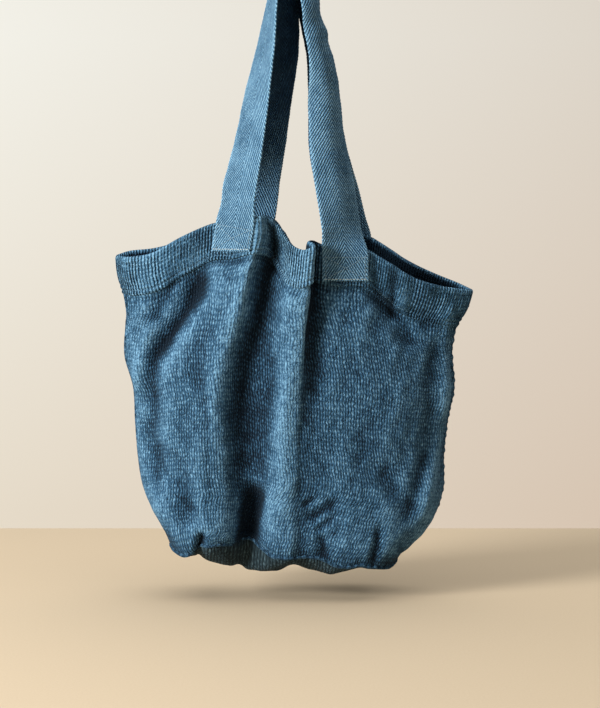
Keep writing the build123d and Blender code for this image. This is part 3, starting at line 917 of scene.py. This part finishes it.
def webbing(name, side, left, right, seed):
    """One handle's webbing from tab to tab: turned flat at its ends and edge-on over the peg."""
    left_rows, right_rows = leg_rows(left, side, -1), leg_rows(right, side, 1)
    knots = np.array(left_rows[::-1] + loop_rows(side) + right_rows)
    run = distances(knots[:, None, :3])[:, 0]
    places = np.arange(0, run[-1], SELVEDGE_PITCH / 4)
    rows = along(run, knots, places)
    middle, width, out, curl = rows[:, :3], rows[:, 3:6], rows[:, 6:9], np.maximum(rows[:, 9], 1e-3)
    width = unit(width)
    out = unit(out - (out * width).sum(axis=1, keepdims=True) * width)
    from_end = np.minimum(places, places[-1] - places)
    free = smooth(from_end, TAB_DEPTH + 6, TAB_DEPTH + 60)
    selvedge = SELVEDGE_HEIGHT * np.cos(2 * pi * places / SELVEDGE_PITCH)
    half_width = WEBBING_WIDTH / 2 - 0.4 + selvedge + 0.5 * np.sin(places / 37.0 + seed)
    half_thick = WEBBING_THICKNESS / 2
    flats = np.linspace(-1, 1, 17)
    ends = np.linspace(pi / 2, -pi / 2, 5)[1:-1]
    x = np.concatenate([flats, 1 + 0.05 * np.cos(ends), flats[::-1], -1 - 0.05 * np.cos(ends)])[:, None]
    z = np.concatenate([np.ones(17), np.sin(ends), -np.ones(17), -np.sin(ends)])[:, None]
    bow = free * (0.9 * (1 - x ** 2) + 0.5 * np.sin(places / 29.0 + seed) * x)
    bow += 0.25 * ripples(x * 25, places[None], 16, 12, 40, seed)
    fall = cloth_run(places) - np.abs(x) * WEBBING_WIDTH / 2 * HERRINGBONE_SLOPE
    weave = 0.14 * np.cos(2 * pi * fall / HERRINGBONE_PITCH)
    lift = (z * half_thick + bow * np.maximum(free, 0.15) + weave * z)[..., None]
    curl_radius = half_width / curl
    outward_now = out[None] * np.cos(x * curl)[..., None] + width[None] * np.sin(x * curl)[..., None]
    sideways = (np.sin(x * curl) * curl_radius)[..., None]
    backward = ((1 - np.cos(x * curl)) * curl_radius)[..., None]
    ring = middle[None] + width[None] * sideways - out[None] * backward + outward_now * lift
    # painted shadow on the inner face near the loop; the edges wear pale
    shaded_near_top = 1 - smooth(cloth_run(places), *INNER_SHADE_REACH)
    wear_and_shade = 0.5 * smooth(np.abs(x), 0.9, 1.0) - INNER_FACE_SHADE * (z < 0) * shaded_near_top
    cloth = cloth_map(x * WEBBING_WIDTH / 2, cloth_run(places), wear_and_shade)
    return tube(name, ring, cloth, webbing_paint, side > 0)


def hinge_of(joint_name):
    """The middle and the axis of a handle's hinge."""
    joint = next(j for j in frame["joints"] if j["name"] == joint_name)
    return Vector(joint["pos_m"]), Vector(joint["axis"])


for name, side in (("front", FRONT), ("back", BACK)):
    strap = webbing(name + "_handle_webbing", side, name + "_left", name + "_right", 61 + side)
    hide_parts(name + "_handle_strip", name + "_left_tab", name + "_right_tab")
    middle, axis = hinge_of(name + "_handle_fold")
    rise = Vector((-axis.z, 0, axis.x)).normalized()
    rise *= 1 if rise.z > 0 else -1
    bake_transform(strap)

# ---------------------------------------------------------------- stitching
STITCH_LENGTH, STITCH_WIDTH = 3.0, 0.9
STITCH_RINGS, STITCH_SIDES = 6, 8
BOX_HALF_WIDTH, BOX_BOTTOM, BOX_TOP = 22.0, -27.5, -3.0


def stitch_row(points, out, length, width):
    """Small rounded stitches centred on points, each lying along the row and standing out a little."""
    points = np.asarray(points)
    way = unit(np.gradient(points, axis=0))
    side = unit(np.cross(way, out))
    steps = np.linspace(-1, 1, STITCH_RINGS)
    girth = np.sqrt(np.maximum(1 - np.abs(steps) ** 2.5, 0.03))[:, None, None] * width / 2
    turn = np.linspace(0, 2 * pi, STITCH_SIDES, endpoint=False)[None, :, None]
    vertices, faces = [], []
    quads = grid_faces(STITCH_RINGS, STITCH_SIDES, wrap_columns=True)
    for p, w, s, n in zip(points, way, side, out):
        base = len(vertices) * STITCH_RINGS * STITCH_SIDES
        w = w + s * rng.uniform(-0.12, 0.12)
        grid = p + w * (steps * length / 2)[:, None, None] + (s * np.cos(turn) + n * np.sin(turn)) * girth
        vertices.append(grid.reshape(-1, 3))
        faces += (quads + base).tolist()
        faces.append(list(range(base, base + STITCH_SIDES)))
        end = base + (STITCH_RINGS - 1) * STITCH_SIDES
        faces.append(list(range(end, end + STITCH_SIDES))[::-1])
    return vertices, faces


def join_rows(name, rows, material, nodes, length=STITCH_LENGTH, width=STITCH_WIDTH):
    """One piece from several rows of stitches, each given as points and outward directions."""
    vertices, faces = [], []
    for points, out in rows:
        made, quads = stitch_row(points, out, length, width)
        start = len(vertices) * STITCH_RINGS * STITCH_SIDES
        faces += [[i + start for i in face] for face in quads]
        vertices += made
    vertices = np.concatenate(vertices)
    cloth = np.column_stack([vertices[:, 0], vertices[:, 2], np.full(len(vertices), 0.5)])
    return ready(add_mesh(name, vertices, faces, cloth, material), nodes=nodes)


def tab_line(tab, a, b):
    """Points along a straight line of stitches on a tab, from a to b in the tab's own across and up."""
    a, b = np.array(a, float), np.array(b, float)
    count = max(3, round(np.linalg.norm(b - a) / (STITCH_LENGTH + 0.6)))
    places = a + (b - a) * np.linspace(0, 1, count)[:, None]
    points = np.array([tab.at(x, t, WEBBING_THICKNESS / 2 + 0.25) for x, t in places])
    return points, np.repeat(tab.normal[None], count, axis=0)


for name, tab in tabs.items():
    w, low, high = BOX_HALF_WIDTH, BOX_BOTTOM, BOX_TOP
    end = [((-w, low), (w, low))]
    box = [((-w, low), (-w, high)), ((w, low), (w, high)), ((-w, high), (w, high)), ((-w, low), (w, high)),
           ((-w, high), (w, low))]
    join_rows(name + "_end_stitching", [tab_line(tab, a, b) for a, b in end], pale_thread,
              [name + "_stitches"], STITCH_LENGTH + 0.4, 1.2)
    join_rows(name + "_box_stitching", [tab_line(tab, a, b) for a, b in box], faded_thread, [])


def hem_line(panel):
    """The stitches that hold the hem, a little above its lower edge."""
    count = int(PANEL_FLAT[0] / 4.6)
    columns = np.linspace(3, panel.width - 3, count)
    row = rows_at(panel, [HEM_STITCH_DROP])
    points, n = sample(panel.points, row, columns)[0], sample(panel.normals, row, columns)[0]
    return points + n * 1.7, n


join_rows("front_hem_stitching", [hem_line(front)], blue_thread, ["front_hem_stitches"])
join_rows("back_hem_stitching", [hem_line(back)], blue_thread, ["back_hem_stitches"])

# ---------------------------------------------------------------- floor, light and background
FLOOR_HEIGHT, FLOOR_BACK = -0.779, 0.465
FLOOR_FRONT, FLOOR_HALF_WIDTH = -2.6, 3.0


def floor_paint():
    """Plain sand-coloured board with a fine grain."""
    s = Shader("sand_floor")
    place = s.add("TexCoord").outputs["Object"]
    grain = s.noise(place, 420.0, 2.0, 0.6)
    s.put(s.surface.inputs["Base Color"], s.mix(grain, rgba(208, 189, 160), rgba(218, 200, 174)))
    s.surface.inputs["Roughness"].default_value = 0.9
    s.surface.inputs["Specular IOR Level"].default_value = 0.1
    return s.material


floor_mesh = bpy.data.meshes.new("floor")
w = FLOOR_HALF_WIDTH
corners = [(-w, FLOOR_FRONT, 0), (w, FLOOR_FRONT, 0), (w, FLOOR_BACK, 0), (-w, FLOOR_BACK, 0)]
floor_mesh.from_pydata(corners, [], [(0, 1, 2, 3)])
floor = bpy.data.objects.new("floor", floor_mesh)
floor.location.z = FLOOR_HEIGHT
floor_mesh.materials.append(floor_paint())
bpy.context.scene.collection.objects.link(floor)


def area_light(name, place, aim, size, power, colour=(1, 1, 1)):
    """A soft round light at a place, turned to what it aims at."""
    light = bpy.data.objects.new(name, bpy.data.lights.new(name, "AREA"))
    light.data.shape = "DISK"
    light.data.size, light.data.energy, light.data.color = size, power, colour
    light.location = place
    light.rotation_euler = (Vector(aim) - Vector(place)).to_track_quat("-Z", "Y").to_euler()
    bpy.context.scene.collection.objects.link(light)


area_light("key_light", (-2.38, -1.6, 0.15), (0, 0, -0.5), 1.1, 130.0, (1.0, 0.985, 0.96))
area_light("top_light", (0.2, 0.5, 2.4), (0, 0.1, -0.8), 6.0, 120.0, (1.0, 0.97, 0.93))


def backdrop():
    """A pale wall for the camera, brighter to the left, and a dimmer even light for everything else."""
    world = bpy.data.worlds.new("studio")
    bpy.context.scene.world = world
    world.use_nodes = True
    nodes, links = world.node_tree.nodes, world.node_tree.links
    out = nodes["World Output"]
    nodes.remove(nodes["Background"])
    seen, lit = (nodes.new("ShaderNodeBackground") for _ in range(2))
    mix = nodes.new("ShaderNodeMixShader")
    where = nodes.new("ShaderNodeTexCoord")
    split = nodes.new("ShaderNodeSeparateXYZ")
    links.new(where.outputs["Generated"], split.inputs[0])
    side, height = (nodes.new("ShaderNodeMapRange") for _ in range(2))
    for node, axis, low, high in ((side, "X", -0.16, 0.16), (height, "Z", -0.15, 0.09)):
        node.inputs["From Min"].default_value, node.inputs["From Max"].default_value = low, high
        links.new(split.outputs[axis], node.inputs["Value"])
    low, high, wall = (nodes.new("ShaderNodeMix") for _ in range(3))
    for node, factor in ((low, side), (high, side), (wall, height)):
        node.data_type = "RGBA"
        links.new(factor.outputs[0], node.inputs["Factor"])
    low.inputs["A"].default_value, low.inputs["B"].default_value = rgba(230, 219, 201), rgba(215, 197, 178)
    high.inputs["A"].default_value, high.inputs["B"].default_value = rgba(243, 241, 232), rgba(221, 213, 201)
    links.new(low.outputs["Result"], wall.inputs["A"])
    links.new(high.outputs["Result"], wall.inputs["B"])
    links.new(wall.outputs["Result"], seen.inputs["Color"])
    lit.inputs["Color"].default_value = (0.86, 0.93, 1.0, 1)
    lit.inputs["Strength"].default_value = 0.08
    path = nodes.new("ShaderNodeLightPath")
    links.new(path.outputs["Is Camera Ray"], mix.inputs["Fac"])
    links.new(lit.outputs[0], mix.inputs[1])
    links.new(seen.outputs[0], mix.inputs[2])
    links.new(mix.outputs[0], out.inputs["Surface"])


backdrop()
bpy.context.scene.view_settings.view_transform = "Standard"
